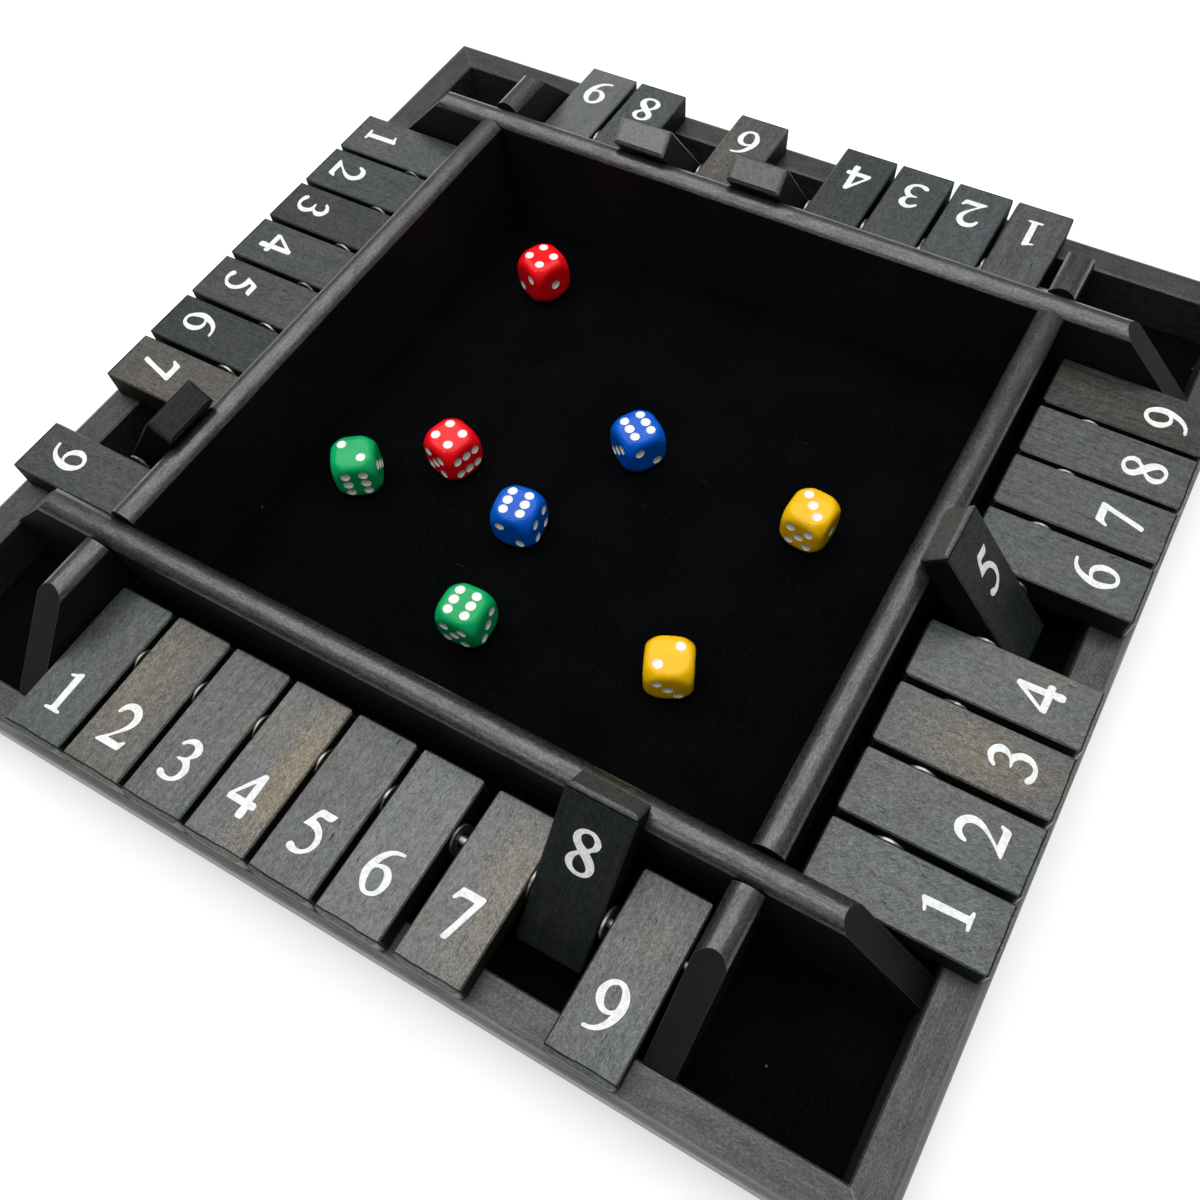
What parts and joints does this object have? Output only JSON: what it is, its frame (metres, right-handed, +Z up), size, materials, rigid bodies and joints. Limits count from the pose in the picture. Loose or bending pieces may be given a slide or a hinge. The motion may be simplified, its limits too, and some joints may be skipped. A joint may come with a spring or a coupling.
{
  "type": "shut the box game",
  "caption": "Square wooden dice game tray with a row of hinged numbered flaps on every side, bars for the raised flaps to lean on, a felt floor and coloured dice.",
  "frame": {"origin": "middle of the underside of the base", "axes": "+Z up; -Y towards the player at the front row, +X to that player's right"},
  "size_m": [0.305, 0.305, 0.05],
  "materials": {
    "black_wood": "satin black paint on wood",
    "felt": "black felt",
    "slate_wood": "slate grey stain with the grain showing, worn in places",
    "steel": "plain bright steel",
    "die_red": "glossy moulded plastic",
    "die_green": "glossy moulded plastic",
    "die_blue": "glossy moulded plastic",
    "die_yellow": "glossy moulded plastic"
  },
  "bodies": {
    "board": {"base_panel": "black_wood", "rim_front": "black_wood", "rim_right": "black_wood", "rim_back": "black_wood", "rim_left": "black_wood", "bar_front": "black_wood", "bar_right": "black_wood", "bar_back": "black_wood", "bar_left": "black_wood", "felt_tray": "felt", "felt_wells": "felt", "pivot_rods": "steel", "washers": "steel"},
    "flap_front_1": {"flap_front_1": "slate_wood"},
    "flap_front_2": {"flap_front_2": "slate_wood"},
    "flap_front_3": {"flap_front_3": "slate_wood"},
    "flap_front_4": {"flap_front_4": "slate_wood"},
    "flap_front_5": {"flap_front_5": "slate_wood"},
    "flap_front_6": {"flap_front_6": "slate_wood"},
    "flap_front_7": {"flap_front_7": "slate_wood"},
    "flap_front_8": {"flap_front_8": "slate_wood"},
    "flap_front_9": {"flap_front_9": "slate_wood"},
    "flap_right_1": {"flap_right_1": "slate_wood"},
    "flap_right_2": {"flap_right_2": "slate_wood"},
    "flap_right_3": {"flap_right_3": "slate_wood"},
    "flap_right_4": {"flap_right_4": "slate_wood"},
    "flap_right_5": {"flap_right_5": "slate_wood"},
    "flap_right_6": {"flap_right_6": "slate_wood"},
    "flap_right_7": {"flap_right_7": "slate_wood"},
    "flap_right_8": {"flap_right_8": "slate_wood"},
    "flap_right_9": {"flap_right_9": "slate_wood"},
    "flap_back_1": {"flap_back_1": "slate_wood"},
    "flap_back_2": {"flap_back_2": "slate_wood"},
    "flap_back_3": {"flap_back_3": "slate_wood"},
    "flap_back_4": {"flap_back_4": "slate_wood"},
    "flap_back_5": {"flap_back_5": "slate_wood"},
    "flap_back_6": {"flap_back_6": "slate_wood"},
    "flap_back_7": {"flap_back_7": "slate_wood"},
    "flap_back_8": {"flap_back_8": "slate_wood"},
    "flap_back_9": {"flap_back_9": "slate_wood"},
    "flap_left_1": {"flap_left_1": "slate_wood"},
    "flap_left_2": {"flap_left_2": "slate_wood"},
    "flap_left_3": {"flap_left_3": "slate_wood"},
    "flap_left_4": {"flap_left_4": "slate_wood"},
    "flap_left_5": {"flap_left_5": "slate_wood"},
    "flap_left_6": {"flap_left_6": "slate_wood"},
    "flap_left_7": {"flap_left_7": "slate_wood"},
    "flap_left_8": {"flap_left_8": "slate_wood"},
    "flap_left_9": {"flap_left_9": "slate_wood"},
    "die_red_1": {"die_red_1": "die_red"},
    "die_red_2": {"die_red_2": "die_red"},
    "die_green_1": {"die_green_1": "die_green"},
    "die_green_2": {"die_green_2": "die_green"},
    "die_blue_1": {"die_blue_1": "die_blue"},
    "die_blue_2": {"die_blue_2": "die_blue"},
    "die_yellow_1": {"die_yellow_1": "die_yellow"},
    "die_yellow_2": {"die_yellow_2": "die_yellow"}
  },
  "joints": [
    {"name": "hinge_front_1", "type": "hinge", "parent": "board", "child": "flap_front_1", "pos_m": [-0.08193, -0.119, 0.0241], "axis": [-1, 0, 0], "range_deg": [0, 130.73]},
    {"name": "hinge_front_2", "type": "hinge", "parent": "board", "child": "flap_front_2", "pos_m": [-0.06183, -0.119, 0.0241], "axis": [-1, 0, 0], "range_deg": [0, 130.73]},
    {"name": "hinge_front_3", "type": "hinge", "parent": "board", "child": "flap_front_3", "pos_m": [-0.04173, -0.119, 0.0241], "axis": [-1, 0, 0], "range_deg": [0, 130.73]},
    {"name": "hinge_front_4", "type": "hinge", "parent": "board", "child": "flap_front_4", "pos_m": [-0.02163, -0.119, 0.0241], "axis": [-1, 0, 0], "range_deg": [0, 130.73]},
    {"name": "hinge_front_5", "type": "hinge", "parent": "board", "child": "flap_front_5", "pos_m": [-0.00153, -0.119, 0.0241], "axis": [-1, 0, 0], "range_deg": [0, 130.73]},
    {"name": "hinge_front_6", "type": "hinge", "parent": "board", "child": "flap_front_6", "pos_m": [0.01857, -0.119, 0.0241], "axis": [-1, 0, 0], "range_deg": [0, 130.73]},
    {"name": "hinge_front_7", "type": "hinge", "parent": "board", "child": "flap_front_7", "pos_m": [0.04093, -0.119, 0.0241], "axis": [-1, 0, 0], "range_deg": [0, 130.73]},
    {"name": "hinge_front_8", "type": "hinge", "parent": "board", "child": "flap_front_8", "pos_m": [0.06033, -0.119, 0.0241], "axis": [-1, 0, 0], "range_deg": [-130.73, 0]},
    {"name": "hinge_front_9", "type": "hinge", "parent": "board", "child": "flap_front_9", "pos_m": [0.08113, -0.119, 0.0241], "axis": [-1, 0, 0], "range_deg": [0, 130.73]},
    {"name": "hinge_right_1", "type": "hinge", "parent": "board", "child": "flap_right_1", "pos_m": [0.119, -0.08075, 0.0241], "axis": [0, -1, 0], "range_deg": [0, 130.73]},
    {"name": "hinge_right_2", "type": "hinge", "parent": "board", "child": "flap_right_2", "pos_m": [0.119, -0.06031, 0.0241], "axis": [0, -1, 0], "range_deg": [0, 130.73]},
    {"name": "hinge_right_3", "type": "hinge", "parent": "board", "child": "flap_right_3", "pos_m": [0.119, -0.03986, 0.0241], "axis": [0, -1, 0], "range_deg": [0, 130.73]},
    {"name": "hinge_right_4", "type": "hinge", "parent": "board", "child": "flap_right_4", "pos_m": [0.119, -0.01942, 0.0241], "axis": [0, -1, 0], "range_deg": [0, 130.73]},
    {"name": "hinge_right_5", "type": "hinge", "parent": "board", "child": "flap_right_5", "pos_m": [0.119, 0.00103, 0.0241], "axis": [0, -1, 0], "range_deg": [-130.73, 0]},
    {"name": "hinge_right_6", "type": "hinge", "parent": "board", "child": "flap_right_6", "pos_m": [0.119, 0.02147, 0.0241], "axis": [0, -1, 0], "range_deg": [0, 130.73]},
    {"name": "hinge_right_7", "type": "hinge", "parent": "board", "child": "flap_right_7", "pos_m": [0.119, 0.04192, 0.0241], "axis": [0, -1, 0], "range_deg": [0, 130.73]},
    {"name": "hinge_right_8", "type": "hinge", "parent": "board", "child": "flap_right_8", "pos_m": [0.119, 0.06202, 0.0241], "axis": [0, -1, 0], "range_deg": [0, 130.73]},
    {"name": "hinge_right_9", "type": "hinge", "parent": "board", "child": "flap_right_9", "pos_m": [0.119, 0.08212, 0.0241], "axis": [0, -1, 0], "range_deg": [0, 130.73]},
    {"name": "hinge_back_1", "type": "hinge", "parent": "board", "child": "flap_back_1", "pos_m": [0.07864, 0.119, 0.0241], "axis": [1, 0, 0], "range_deg": [0, 130.73]},
    {"name": "hinge_back_2", "type": "hinge", "parent": "board", "child": "flap_back_2", "pos_m": [0.05854, 0.119, 0.0241], "axis": [1, 0, 0], "range_deg": [0, 130.73]},
    {"name": "hinge_back_3", "type": "hinge", "parent": "board", "child": "flap_back_3", "pos_m": [0.03844, 0.119, 0.0241], "axis": [1, 0, 0], "range_deg": [0, 130.73]},
    {"name": "hinge_back_4", "type": "hinge", "parent": "board", "child": "flap_back_4", "pos_m": [0.01834, 0.119, 0.0241], "axis": [1, 0, 0], "range_deg": [0, 130.73]},
    {"name": "hinge_back_5", "type": "hinge", "parent": "board", "child": "flap_back_5", "pos_m": [-0.00176, 0.119, 0.0241], "axis": [1, 0, 0], "range_deg": [-130.73, 0]},
    {"name": "hinge_back_6", "type": "hinge", "parent": "board", "child": "flap_back_6", "pos_m": [-0.02186, 0.119, 0.0241], "axis": [1, 0, 0], "range_deg": [0, 130.73]},
    {"name": "hinge_back_7", "type": "hinge", "parent": "board", "child": "flap_back_7", "pos_m": [-0.04196, 0.119, 0.0241], "axis": [1, 0, 0], "range_deg": [-130.73, 0]},
    {"name": "hinge_back_8", "type": "hinge", "parent": "board", "child": "flap_back_8", "pos_m": [-0.06206, 0.119, 0.0241], "axis": [1, 0, 0], "range_deg": [0, 130.73]},
    {"name": "hinge_back_9", "type": "hinge", "parent": "board", "child": "flap_back_9", "pos_m": [-0.08216, 0.119, 0.0241], "axis": [1, 0, 0], "range_deg": [0, 130.73]},
    {"name": "hinge_left_1", "type": "hinge", "parent": "board", "child": "flap_left_1", "pos_m": [-0.119, 0.08193, 0.0241], "axis": [0, 1, 0], "range_deg": [0, 130.73]},
    {"name": "hinge_left_2", "type": "hinge", "parent": "board", "child": "flap_left_2", "pos_m": [-0.119, 0.06183, 0.0241], "axis": [0, 1, 0], "range_deg": [0, 130.73]},
    {"name": "hinge_left_3", "type": "hinge", "parent": "board", "child": "flap_left_3", "pos_m": [-0.119, 0.04173, 0.0241], "axis": [0, 1, 0], "range_deg": [0, 130.73]},
    {"name": "hinge_left_4", "type": "hinge", "parent": "board", "child": "flap_left_4", "pos_m": [-0.119, 0.02163, 0.0241], "axis": [0, 1, 0], "range_deg": [0, 130.73]},
    {"name": "hinge_left_5", "type": "hinge", "parent": "board", "child": "flap_left_5", "pos_m": [-0.119, 0.00153, 0.0241], "axis": [0, 1, 0], "range_deg": [0, 130.73]},
    {"name": "hinge_left_6", "type": "hinge", "parent": "board", "child": "flap_left_6", "pos_m": [-0.119, -0.01857, 0.0241], "axis": [0, 1, 0], "range_deg": [0, 130.73]},
    {"name": "hinge_left_7", "type": "hinge", "parent": "board", "child": "flap_left_7", "pos_m": [-0.119, -0.03867, 0.0241], "axis": [0, 1, 0], "range_deg": [0, 130.73]},
    {"name": "hinge_left_8", "type": "hinge", "parent": "board", "child": "flap_left_8", "pos_m": [-0.119, -0.05877, 0.0241], "axis": [0, 1, 0], "range_deg": [-130.73, 0]},
    {"name": "hinge_left_9", "type": "hinge", "parent": "board", "child": "flap_left_9", "pos_m": [-0.119, -0.07887, 0.0241], "axis": [0, 1, 0], "range_deg": [0, 130.73]},
    {"name": "lift_die_red_1", "type": "slide", "parent": "board", "child": "die_red_1", "axis": [0, 0, 1], "range_m": [0, 0.06]},
    {"name": "lift_die_red_2", "type": "slide", "parent": "board", "child": "die_red_2", "axis": [0, 0, 1], "range_m": [0, 0.06]},
    {"name": "lift_die_green_1", "type": "slide", "parent": "board", "child": "die_green_1", "axis": [0, 0, 1], "range_m": [0, 0.06]},
    {"name": "lift_die_green_2", "type": "slide", "parent": "board", "child": "die_green_2", "axis": [0, 0, 1], "range_m": [0, 0.06]},
    {"name": "lift_die_blue_1", "type": "slide", "parent": "board", "child": "die_blue_1", "axis": [0, 0, 1], "range_m": [0, 0.06]},
    {"name": "lift_die_blue_2", "type": "slide", "parent": "board", "child": "die_blue_2", "axis": [0, 0, 1], "range_m": [0, 0.06]},
    {"name": "lift_die_yellow_1", "type": "slide", "parent": "board", "child": "die_yellow_1", "axis": [0, 0, 1], "range_m": [0, 0.06]},
    {"name": "lift_die_yellow_2", "type": "slide", "parent": "board", "child": "die_yellow_2", "axis": [0, 0, 1], "range_m": [0, 0.06]}
  ]
}
